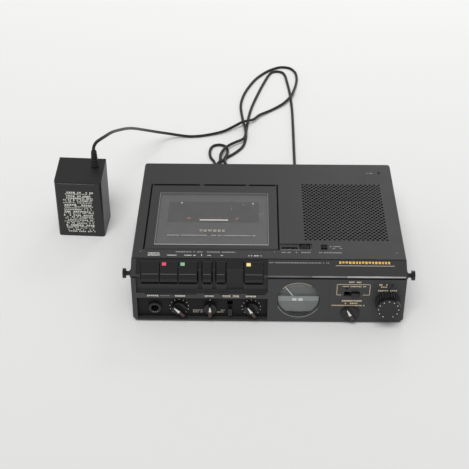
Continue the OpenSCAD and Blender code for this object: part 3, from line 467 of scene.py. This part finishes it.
def make_relief():
    """The ribbed, tapering strain relief on top of the adapter."""
    lo, hi = box_mm("adapter_strain_relief")
    foot, tip = lo[2], hi[2]
    centre = mm((lo[0] + hi[0]) / 2, (lo[1] + hi[1]) / 2, 0.0)
    profile = [(3.1, foot), (3.1, foot + 6.5)]
    ribs = 6
    pitch = (tip - foot - 7.5) / ribs
    for k in range(ribs):
        z = foot + 7 + k * pitch
        r = 3.5 - 0.8 * k / (ribs - 1)
        profile += [(r - 0.45, z), (r, z + 0.25), (r, z + pitch * 0.6),
                    (r - 0.45, z + pitch * 0.75)]
    profile += [(2.3, tip - 0.3), (2.0, tip)]
    piece = lathe("strain_relief", profile, centre, SHEATH, "recorder")
    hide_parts("adapter_strain_relief")
    return piece


def make_lead(relief):
    """The lead from the rear DC socket to the adapter, as one round tube."""
    points = cord_points()
    curve = bpy.data.curves.new("lead", "CURVE")
    curve.dimensions = "3D"
    curve.bevel_depth = CORD_D / 2 * MM
    curve.bevel_resolution = 5
    curve.use_fill_caps = True
    spline = curve.splines.new("POLY")
    spline.points.add(len(points) - 1)
    for target, point in zip(spline.points, points):
        target.co = (*point, 1)
    spline.use_smooth = True
    curve.materials.append(SHEATH)
    lead = bpy.data.objects.new("lead", curve)
    bpy.context.scene.collection.objects.link(lead)
    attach(lead, "recorder")
    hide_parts("power_cord")


make_lead(make_relief())


# ---- Top: grille, labels and counter ----

def make_grille():
    """A plate flush with the cover, pierced by staggered rows of round holes."""
    lo, hi = box_mm("speaker_grille")
    margin = 0.4
    x0, x1 = lo[0] - margin, hi[0] + margin
    y0, y1 = lo[1] - margin, hi[1] + margin
    pitch, row, r, sides = 4.1, 2.25, 1.11, 12
    columns, rows = 18, 39
    left = (x0 + x1) / 2 - columns * pitch / 2
    front = (y0 + y1) / 2 - rows * row / 2
    top, low = COVER_TOP + 0.03, COVER_TOP - 1.2
    bm = bmesh.new()
    holes = bmesh.new()

    def flat(u0, v0, u1, v1):
        corners = ((u0, v0), (u1, v0), (u1, v1), (u0, v1))
        bm.faces.new([bm.verts.new(mm(u, v, top)) for u, v in corners])

    def rim(u, v, a):
        """The point of the cell's rectangle in the direction a from its middle."""
        c, s = math.cos(a), math.sin(a)
        t = min(pitch / 2 / max(abs(c), 1e-9), row / 2 / max(abs(s), 1e-9))
        return u + c * t, v + s * t

    corner = math.atan2(row, pitch)
    turns = sorted([around(k, sides) for k in range(sides)]
                   + [corner, math.pi - corner, math.pi + corner, 2 * math.pi - corner])

    def cell(u, v):
        """One hole, with the plate round it and its wall below."""
        outer = [bm.verts.new(mm(*rim(u, v, a), top)) for a in turns]
        inner = [bm.verts.new(mm(u + r * math.cos(a), v + r * math.sin(a), top)) for a in turns]
        wall = [[holes.verts.new(mm(u + r * math.cos(a), v + r * math.sin(a), z))
                 for a in turns]
                for z in (low, top - 0.1)]
        for k in range(len(turns)):
            n = (k + 1) % len(turns)
            bm.faces.new((inner[k], outer[k], outer[n], inner[n]))
            holes.faces.new((wall[0][k], wall[1][k], wall[1][n], wall[0][n]))

    for j in range(rows):
        v = front + (j + 0.5) * row
        odd = j % 2
        for i in range(columns - odd):
            cell(left + (i + 0.5 + odd / 2) * pitch, v)
        if odd:
            for blank in (left, left + (columns - 0.5) * pitch):
                flat(blank, v - row / 2, blank + pitch / 2, v + row / 2)
    right = left + columns * pitch
    back = front + rows * row
    flat(x0, y0, x1, front)
    flat(x0, back, x1, y1)
    flat(x0, front, left, back)
    flat(right, front, x1, back)
    grille = add_piece("grille", mesh_of(bm, "grille"), CASE, "recorder")
    add_piece("grille_holes", mesh_of(holes, "grille_holes"), CLOTH_AND_SHADE, "recorder")
    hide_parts("speaker_grille")
    inset = 1.3
    (on_top(COVER_TOP - 1.5).bar(lo[0] + inset, lo[1] + inset, hi[0] - inset, hi[1] - inset)
     .build("grille_cloth", CLOTH_AND_SHADE, slot="speaker_paper"))


make_grille()

TYPE = 1.25
(on_top()
 .words(11, 24, -58.2, TYPE, 1).words(27.5, 35.5, -58.2, TYPE, 2).words(42.5, 61.5, -58.2, TYPE, 3)
 .words(-79.5, -55.7, -58.6, TYPE, 4).words(-52, -28, -58.6, TYPE, 5)
 .build("top_labels", INK_GREY))
(on_top()
 .words(52, 61.5, -49.4, TYPE, 6).words(54, 62.5, -52.2, TYPE, 7).words(92, 98, 66, TYPE, 8)
 .build("switch_labels", INK_GREY))
keys_print = on_top()
for left, right, v, seed in (
        (-101.5, -91.4, -60.6, 10), (-101.5, -91.4, -63.4, 11), (-85.3, -77.3, -63.4, 12),
        (-71, -61.3, -63.4, 13), (-51.4, -47.9, -63.4, 14), (-41.5, -38, -63.4, 15),
        (-17, -6, -63.4, 16)):
    keys_print.words(left, right, v, 1.35 if v > -61 or left < -100 else 1.1, seed, 0.25, 0.08)
keys_print.bar(-56.6, -64.2, -56.0, -61.6)
keys_print.build("key_labels", INK_WHITE)
on_top().bar(10.2, -54.7, 36.6, -54.35).build("counter_edge_line", INK_GREY)
(on_top().disc(4.8, -57.2, 0.5, 8).disc(107.8, -58, 0.5, 8).disc(-107.8, -58, 0.5, 8)
 .build("cover_dots", INK_GREY))


def make_reset_gap():
    """Painted shade in the gap round the back and sides of the counter's reset button."""
    (x0, y0, _), (x1, y1, _) = box_mm("counter_reset_button")
    (on_top(lift=0.05)
     .bar(x0 - 1, y1 + 0.1, x1 + 1, y1 + 1.1).bar(x0 - 1, y0, x0 - 0.1, y1 + 0.1)
     .bar(x1 + 0.1, y0, x1 + 1, y1 + 0.1)
     .build("reset_gap_shade", CLOTH_AND_SHADE))


make_reset_gap()


def make_figures():
    """The figures 0 to 9 round each wheel of the tape counter, drawn in seven strokes."""
    strokes = {"a": (0, 2, 1, 2), "b": (1, 1, 1, 2), "c": (1, 0, 1, 1), "d": (0, 0, 1, 0),
               "e": (0, 0, 0, 1), "f": (0, 1, 0, 2), "g": (0, 1, 1, 1)}
    figures = ["abcdef", "bc", "abged", "abgcd", "fgbc", "afgcd", "afgedc", "abc", "abcdefg",
               "abcdfg"]
    wide, tall, pen = 1.3, 0.6, 0.16
    first = 90 + 12
    for name in ("counter_hundreds", "counter_tens", "counter_units"):
        lo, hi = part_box(name)
        middle = (Vector(lo) + Vector(hi)) / 2 / MM
        radius = (hi[2] - lo[2]) / 2 / MM
        shared = None
        for k, figure in enumerate(figures):
            turn = math.radians(first - 36 * k)
            out = Vector((0, math.cos(turn), math.sin(turn)))
            face = Print(middle + out * radius, (1, 0, 0), out.cross(Vector((1, 0, 0))), 0.03,
                         shared)
            shared = face.bm
            for stroke in figure:
                u0, v0, u1, v1 = strokes[stroke]
                face.bar((u0 - 0.5) * wide - pen, (v0 - 1) * tall - pen,
                         (u1 - 0.5) * wide + pen, (v1 - 1) * tall + pen)
        face.build(f"{name}_figures", INK_WHITE, name, "counter_black")


make_figures()


# ---- Cassette door ----

def make_window():
    """The frosted border under the window, the marks on its face and painted highlights along its
    rims.
    """
    lo, hi = box_mm("door_window")
    rim = 1.25
    clear = (-88.5, -12, -8, 20.4)
    marks = {
        "window_border": (FROST, on_top(lo[2] - 0.3, 0.2).frame(
            lo[0] + rim, lo[1] + rim, hi[0] - rim, hi[1] - rim, clear)),
        "window_scale": (INK_WHITE, on_top(hi[2])
                         .disc(-76.9, 15.5, 0.75).disc(-13.3, 14.8, 0.75)
                         .bar(-60, -11.7, -35, -10.3)),
        "window_tint": (INK_PINK, on_top(hi[2])
                        .bar(-61.5, -8, -34, -7.5)
                        .disc(-69.6, -8.6, 2.0, 7).disc(-27.4, -8.8, 2.0, 7)),
        "window_mark": (INK_DIM, on_top(hi[2]).words(-59.4, -36.2, -27.2, 3.6, 21, 1.1, 0.0)),
        # Rows of print, with painted highlights along the back and side rims of the window.
        "window_line": (INK_GREY, on_top(hi[2])
                        .words(-87, -52, -34.2, 1.4, 22, 0.25, 0.06)
                        .words(-49, -10.6, -34.2, 1.4, 23, 0.25, 0.06)
                        .bar(-97.2, 31.6, 0.2, 31.9)
                        .bar(-97.2, -47.2, -96.9, 31.9).bar(-0.1, -47.2, 0.2, 31.9)),
        # A painted highlight along the front rim of the window.
        "window_front_highlight": (INK_WHITE, on_top(hi[2]).bar(-97.2, -47.8, 0.2, -47.2)),
        "window_specks": (INK_WHITE, on_top(hi[2])),
    }
    rng = random.Random(24)
    for _ in range(12):
        marks["window_specks"][1].disc(
            -22 + rng.uniform(-14, 18), rng.uniform(-4, 16), rng.uniform(0.15, 0.3), 6)
    for name, (ink, marked) in marks.items():
        marked.build(name, ink, "door", "smoked_window")


make_window()

# Painted shade in the gaps round the cassette door, on the cover and along the door's back edge.
(on_top(lift=0.05)
 .bar(-104, 44.5, -62, 45.7).bar(-58, 44.5, -20, 45.7).bar(-17, 44.5, 7.4, 45.7)
 .bar(-106.4, -55, -105.4, 45.7).bar(8.4, -55, 9.4, 45.7)
 .build("door_gap", CLOTH_AND_SHADE))
(on_top(lift=0.05)
 .bar(-104.5, 43.2, -62, 44.1).bar(-58, 43.2, -20, 44.1).bar(-17, 43.2, 7.5, 44.1)
 .build("door_edge_shade", CLOTH_AND_SHADE, "door"))


# ---- Bevel above the front panel ----

on_slope().words(-0.6, 50.4, -3.7, 0.9, 31, 0.5).build("bevel_label", INK_GREY)
on_slope().words(58.8, 102, -3.2, 2.1, 33, 0.9, 0.0).build("bevel_band", INK_GOLD)
on_slope().bar(55.8, -6.2, 104.8, -5.8).build("bevel_line", INK_WARM)
# A painted shade line in the seam at the top of the bevel.
on_slope().bar(-113.5, -0.7, 113.5, -0.1).build("bevel_seam_shade", CLOTH_AND_SHADE)


def make_lip(name, x0, x1, material):
    """A polished bead along the lower edge of the bevel."""
    bm = bmesh.new()
    sides, r = 10, 0.7
    low, high = [[bm.verts.new(mm(x, -80.9 + r * math.cos(around(k, sides)),
                                  49.9 + r * math.sin(around(k, sides)))) for k in range(sides)]
                 for x in (x0, x1)]
    for face in close_prism(bm, low, high):
        face.smooth = True
    bmesh.ops.recalc_face_normals(bm, faces=bm.faces)
    add_piece(name, mesh_of(bm, name), material, "recorder")


# The bead's three stretches carry a painted highlight that grows lighter towards the right.
make_lip("bevel_lip_left", -0.4, 35.9, LIP_FAINT_HIGHLIGHT)
make_lip("bevel_lip_mid_highlight", 36, 64.9, LIP_MID_HIGHLIGHT)
make_lip("bevel_lip_right", 65, 113.6, LIP_SHINE)


# ---- Keys ----

KEY_ENDS = ((-110.9, -106.8), (-4.3, -0.6))
KEY_GAPS = ((-59.4, -55.4), (-47.4, -43.8), (-35.8, -20.4))
GAP_W = 0.8
KEY_FRONT_Y = -82.02


def make_key_bay():
    """Fillers at both ends of the row of keys and between keys, with painted shade in the gaps at
    their edges.
    """
    slopes = on_slope()
    ends = on_front(-79.2)
    for left, right in KEY_ENDS:
        slopes.bar(left, -15.1, right, -0.8)
        ends.bar(left, 39.4, right, 50.4)
    slopes.bar(-106.7, -2.9, -4.4, -0.8)
    slopes.build("key_end_slopes", KEY)
    ends.build("key_end_fillers", KEY)

    above = 0.03
    lean = (0, 10, 4.5)
    tops = Print(BEVEL_EDGE, (1, 0, 0), lean)
    fronts = on_front(RECESS_Y)
    # Painted shade in the gaps beside the keys.
    top_gaps = Print((0, BEVEL_EDGE[1], COVER_TOP + above), (1, 0, 0), lean)
    front_gaps = on_front(RECESS_Y - above)
    for left, right in KEY_GAPS:
        tops.bar(left, -10.9, right, -0.6)
        fronts.bar(left, 33, right, 53.4)
        for edge in (left, right - GAP_W):
            top_gaps.bar(edge, -10.9, edge + GAP_W, -3.2)
            front_gaps.bar(edge, 40, edge + GAP_W, 53.4)
    tops.build("key_filler_tops", KEY)
    fronts.build("key_filler_fronts", KEY)
    top_gaps.build("key_gap_shade_tops", CLOTH_AND_SHADE)
    front_gaps.build("key_gap_shade_fronts", CLOTH_AND_SHADE)


def make_key_edges(name):
    """A painted highlight along the ridge across a key, and painted shadow at the foot of its
    front.
    """
    (left, _, _), (right, _, _) = box_mm(name)
    # A painted highlight along the key's ridge.
    (Print((0, -79.55, 50.2), (1, 0, 0), (0, 0.5, 0.86))
     .bar(left + 0.6, -0.1, right - 0.6, 0.35)
     .build(f"{name}_ridge", RIDGE_HIGHLIGHT, name, "key_plastic"))
    # Painted shadow at the foot of the key's front.
    (on_front(KEY_FRONT_Y).bar(left + 0.2, 41.9, right - 0.2, 43.5)
     .build(f"{name}_foot", CLOTH_AND_SHADE, name, "key_plastic"))


make_key_bay()
for name in FINISHES[KEY]:
    make_key_edges(name)


# ---- Front panel ----

(on_front()
 .bar(57, 41.9, 85, 42.4).bar(57, 30.9, 57.5, 42.4).bar(84.5, 30.9, 85, 42.4)
 .bar(57, 30.8, 61, 31.3).bar(79, 30.8, 85, 31.3)
 .words(67, 77, 44.6, 1.5, 41).words(60.5, 67, 40.0, 1.2, 42).words(68.5, 81.5, 40.0, 1.2, 43)
 .build("speed_bracket", INK_CREAM))
(on_front()
 .words(62, 79, 24.7, 1.5, 44, 0.3, 0.08).words(64.6, 75.2, 22, 1.4, 45)
 .words(53.5, 81.5, 19.7, 1.1, 46)
 .words(92.2, 99.2, 42, 1.5, 47, 0.3, 0.08).words(92.2, 99.2, 39.6, 1.4, 48)
 .words(91.6, 107.6, 35.8, 1.5, 49)
 .build("front_labels", INK_CREAM))
(on_front()
 .words(-102, -92, 28.5, 1.7, 51, 0.3, 0.06).words(-80.5, -70, 28.5, 1.7, 52, 0.3, 0.06)
 .words(-53.5, -46, 28.5, 1.7, 53, 0.3, 0.06).words(-38.5, -24.7, 28.7, 1.7, 54, 0.3, 0.06)
 .words(-19, -10.4, 28.5, 1.7, 56, 0.3, 0.06)
 .build("rib_labels", INK_WARM))
on_front().bar(-91, 28.4, -83, 28.8).bar(-38, 27.0, -24, 27.3).build("rib_lines", INK_DIM)
# Painted shadow of the keys along the top of the label rib.
(on_front()
 .bar(-104, 30.2, -60, 30.9).bar(-54, 30.2, -46, 30.9)
 .bar(-41, 30.2, -34, 30.9).bar(-18, 30.2, -2, 30.9)
 .build("rib_key_shadow", CLOTH_AND_SHADE))

KNOB_Z = 13.5
DIAL_TICKS = range(-135, 136, 27)
(on_front(RECESS_Y)
 .clock_dots(-75.6, KNOB_Z, 8.0, 0.42, DIAL_TICKS)
 .clock_dots(-14.2, KNOB_Z, 8.0, 0.42, DIAL_TICKS)
 .bar(-49.5, 20.4, -48.9, 22)
 .build("recess_marks", INK_WARM))
(on_front(RECESS_Y)
 .words(-64, -55.5, 10, 1.2, 61).words(-64, -55.5, 8, 1.2, 62)
 .words(-45.4, -37, 10, 1.2, 63).words(-43.4, -37, 8, 1.2, 64)
 .build("recess_labels", INK_DIM))


def lamp(name, x, z, r):
    """A small domed lamp in the front panel."""
    profile = [(r, 0), (r, 0.3), (r * 0.86, 0.75), (r * 0.55, 1.05), (r * 0.2, 1.15)]
    piece = lathe(name, profile, Vector((0, 0, 0)), LAMP, "recorder", 20)
    stand_forward(piece, x, FRONT_Y + 0.4, z)


lamp("battery_lamp", 65.3, 37.9, 1.1)
lamp("level_lamp", 103.3, 41.8, 1.1)


# ---- Knobs ----

def paint_grip(name, angle, half_tip, tip, half_base, base, tail):
    """Paint on a knob's straight grip: a white wedge from tip to base, and a brown end to tail.

    The places are in mm from the knob's axis along the grip, which leans by angle degrees.
    """
    lo, _ = box_mm(name)
    joints = frame["record"]["behaviour"]["joints"]
    axis = next(j for j in joints if j["child"] == name)["pos_m"]
    turn = math.radians(angle)
    wedge = [(-half_tip, tip), (half_tip, tip), (half_base, base), (-half_base, base)]
    start, half_end = base - 0.4, 1.2
    end = [(-half_end, start), (half_end, start), (half_end, tail), (-half_end, tail)]
    for points, ink in ((wedge, INK_WHITE), (end, INK_BROWN)):
        (Print((axis[0] / MM, lo[1], axis[2] / MM),
               (math.cos(turn), 0, -math.sin(turn)), (math.sin(turn), 0, math.cos(turn)))
         .shape(points)
         .build(f"{name}_{ink.name.removeprefix('ink_')}", ink, name, "knob_black"))


paint_grip("level_knob", -43, 0.3, 5.6, 1.25, -0.6, -6.0)
paint_grip("pitch_knob", -31, 0.3, 5.6, 1.25, -0.6, -6.0)
paint_grip("tone_knob", 0, 0.35, 4.8, 1.1, 0.2, -4.4)
paint_grip("record_mode_knob", -28, 0.3, 6.0, 1.2, -0.4, -5.6)


COLLAR = [(3.25, 0), (3.25, 1.3), (3.8, 1.7), (5.0, 1.7), (5.6, 1.2), (5.6, 0)]
collar = lathe("jack_collar", COLLAR, Vector((0, 0, 0)), KNOB, "recorder",
               ring=True)
stand_forward(collar, -96.3, RECESS_Y - 1, KNOB_Z)
# Three small painted highlights low on the jack's collar.
(on_front(-79.7, 0.05)
 .disc(-97.9, 10.1, 0.35).disc(-96.0, 9.8, 0.35).disc(-94.2, 10.3, 0.35)
 .build("jack_collar_highlights", INK_GREY, slot="knob_black"))


def make_flutes():
    """Ridges round the rim of the recording level ring."""
    lo, hi = box_mm("record_level_ring")
    x, z, r = (lo[0] + hi[0]) / 2, (lo[2] + hi[2]) / 2, (hi[0] - lo[0]) / 2
    count = 26
    section = ((-0.75, r - 0.3), (-0.3, r + 0.35), (0.3, r + 0.35), (0.75, r - 0.3))
    bm = bmesh.new()
    for k in range(count):
        a = around(k, count)
        out = Vector((math.sin(a), 0, math.cos(a)))
        side = Vector((math.cos(a), 0, -math.sin(a)))
        ends = [[bm.verts.new((Vector((x, y, z)) + out * h + side * w) * MM) for w, h in section]
                for y in (lo[1] + 0.2, hi[1] - 0.3)]
        close_prism(bm, *ends)
    bmesh.ops.recalc_face_normals(bm, faces=bm.faces)
    name = "record_level_flutes"
    add_piece(name, mesh_of(bm, name), GLOSS, "record_level_ring")


def make_level_dots():
    """The dots round the face of the recording level knob."""
    lo, hi = box_mm("record_level_knob")
    (on_front(lo[1])
     .clock_dots((lo[0] + hi[0]) / 2, (lo[2] + hi[2]) / 2, 8.4, 0.45, range(-150, 151, 30))
     .build("record_level_dots", INK_WHITE, "record_level_knob", "knob_black"))


make_flutes()
make_level_dots()


# ---- Meter ----

def make_meter():
    """The meter's grey shield, its scale and painted highlights along its rim."""
    lo, hi = box_mm("vu_dial")
    x, z = (lo[0] + hi[0]) / 2, (lo[2] + hi[2]) / 2
    r = (hi[0] - lo[0]) / 2 - 0.1
    pivot = (x, 19.8)
    scale_r, pen = 15.6, 0.25
    face_y = lo[1]
    shield_y = face_y - 3.2
    band_low, band_high = 22.2, 27.2

    def edge(v):
        return math.sqrt(r * r - (v - z) ** 2)

    def across(low, high, inset=0.4):
        """The part of the round face between two heights."""
        levels = [low + (high - low) * k / 8 for k in range(9)]
        return ([(x + edge(v) - inset, v) for v in levels]
                + [(x - edge(v) + inset, v) for v in reversed(levels)])

    def put(marks, name, ink):
        marks.build(name, ink, slot="meter_dial")

    put(on_front(shield_y, 0.2).shape(across(z - 14, band_high)), "meter_shield", DIAL)
    put(on_front(shield_y - 0.2, 0.04).shape(across(band_low, band_high)), "meter_band", DIAL_BAND)
    scale = on_front(face_y, 0.05).arc(pivot, scale_r, -44, 16, pen)
    for k in range(13):
        a = math.radians(-44 + 5 * k)
        s, c = math.sin(a), math.cos(a)
        far = 17.4 if k % 3 == 0 else 16.6
        scale.line((pivot[0] + scale_r * s, pivot[1] + scale_r * c),
                   (pivot[0] + far * s, pivot[1] + far * c), pen)
    put(scale, "meter_scale", INK_GREY)
    put(on_front(face_y, 0.05).arc(pivot, scale_r, 17, 44, 0.5), "meter_over_range", INK_PINK)
    put(on_front(shield_y - 0.2, 0.1).bar(20.2, 22.4, 23.9, 24.9).bar(25.4, 22.4, 29.1, 24.9),
        "meter_mark", INK_WHITE)
    # Painted highlights on the lens rim: warm at the top, grey below.
    on_front(lift=0.08).arc((x, z), 18.3, -48, 36, 0.35, 24).build("meter_rim_highlight_top", INK_CREAM)
    on_front(lift=0.08).arc((x, z), 18.4, 118, 248, 0.4, 24).build("meter_rim_highlight_low", INK_GREY)


make_meter()


# ---- Adapter label ----

def make_adapter_label():
    """Rows of blocks for the rating label on the front of the adapter, and a painted highlight
    along its top edge.
    """
    turn = math.radians(-3)
    right = Vector((math.cos(turn), math.sin(turn), 0))
    front = Vector((math.sin(turn), -math.cos(turn), 0))
    middle = Vector((-173.7, 61.7, 0)) + front * 18

    def on_adapter(lift=0.05):
        return Print(middle, right, (0, 0, 1), lift)

    face = on_adapter()
    rng = random.Random(71)
    v = 5.2
    while v < 51:
        height = rng.choice((1.0, 1.3, 1.8))
        left, end = rng.uniform(-15.4, -12.5), rng.uniform(11, 14.2)
        face.words(left, end, v, height, int(v * 10), 0.55, 0.2)
        v += height + 0.6
    face.disc(6.2, 42.6, 3.4).build("adapter_label", LABEL, slot="adapter_plastic")
    (on_adapter(0.07).disc(6.2, 42.6, 1.1).bar(3.6, 40.6, 8.8, 41.0)
     .build("adapter_label_eye", ADAPTER, slot="adapter_plastic"))
    # A broken painted highlight along the adapter's top edge.
    (on_adapter().words(-18.5, 16, 58.2, 0.35, 72, 0.3, 0.3)
     .build("adapter_edge_highlight", INK_GREY, slot="adapter_plastic"))


make_adapter_label()


# ---- Room ----

def make_floor():
    """The paper that the recorder stands on; its colour is painted paler away from the camera, a
    painted falloff of the light.
    """
    bpy.ops.mesh.primitive_plane_add(size=8, location=(0, 1.0, 0))
    floor = bpy.context.object
    floor.name = "floor"
    paper = surface("floor_paper", (0.86, 0.86, 0.855), 0.9, grain=2.0, tone=0.004, bump=0.02,
                    clouds=300.0)
    tree = paper.node_tree
    bsdf = tree.nodes["Principled BSDF"]
    split = tree.nodes.new("ShaderNodeSeparateXYZ")
    geometry = tree.nodes.new("ShaderNodeNewGeometry")
    fade = tree.nodes.new("ShaderNodeMapRange")
    for socket, value in (("From Min", -0.45), ("From Max", 0.9), ("To Min", 0.0), ("To Max", 1.0)):
        fade.inputs[socket].default_value = value
    # Painted light: the paper runs from darker in front to paler at the back.
    shade = tree.nodes.new("ShaderNodeMix")
    shade.data_type = "RGBA"
    shade.inputs[6].default_value = (0.715, 0.715, 0.713, 1)
    shade.inputs[7].default_value = (0.9, 0.9, 0.896, 1)
    tree.links.new(geometry.outputs["Position"], split.inputs["Vector"])
    tree.links.new(split.outputs["Y"], fade.inputs["Value"])
    tree.links.new(fade.outputs["Result"], shade.inputs[0])
    tree.links.new(shade.outputs[2], bsdf.inputs["Base Color"])
    floor.data.materials.append(paper)


def make_light(name, kind, place, aim, power):
    """A light at place, in metres, that points at aim."""
    data = bpy.data.lights.new(name, kind)
    data.energy = power
    light = bpy.data.objects.new(name, data)
    bpy.context.scene.collection.objects.link(light)
    light.location = place
    light.rotation_mode = "QUATERNION"
    light.rotation_quaternion = (Vector(aim) - Vector(place)).to_track_quat("-Z", "Y")
    return light


def make_room():
    """A bright studio: soft light all round, a wide key light in front and a small one behind."""
    scene = bpy.context.scene
    scene.view_settings.view_transform = "Standard"
    scene.view_settings.look = "None"
    world = bpy.data.worlds.new("studio")
    world.use_nodes = True
    sky = world.node_tree.nodes["Background"].inputs
    sky["Color"].default_value = (1.0, 0.995, 0.985, 1)
    sky["Strength"].default_value = 0.45
    scene.world = world
    make_floor()
    front = make_light("front", "SUN", (-0.1, -0.62, 1.0), (0, 0, 0), 2.1)
    front.data.angle = 0.6
    front.visible_glossy = False
    back = make_light("back", "AREA", (0.3, 1.15, 1.0), (0.05, 0, 0), 1.5)
    back.data.size = 0.3


make_room()
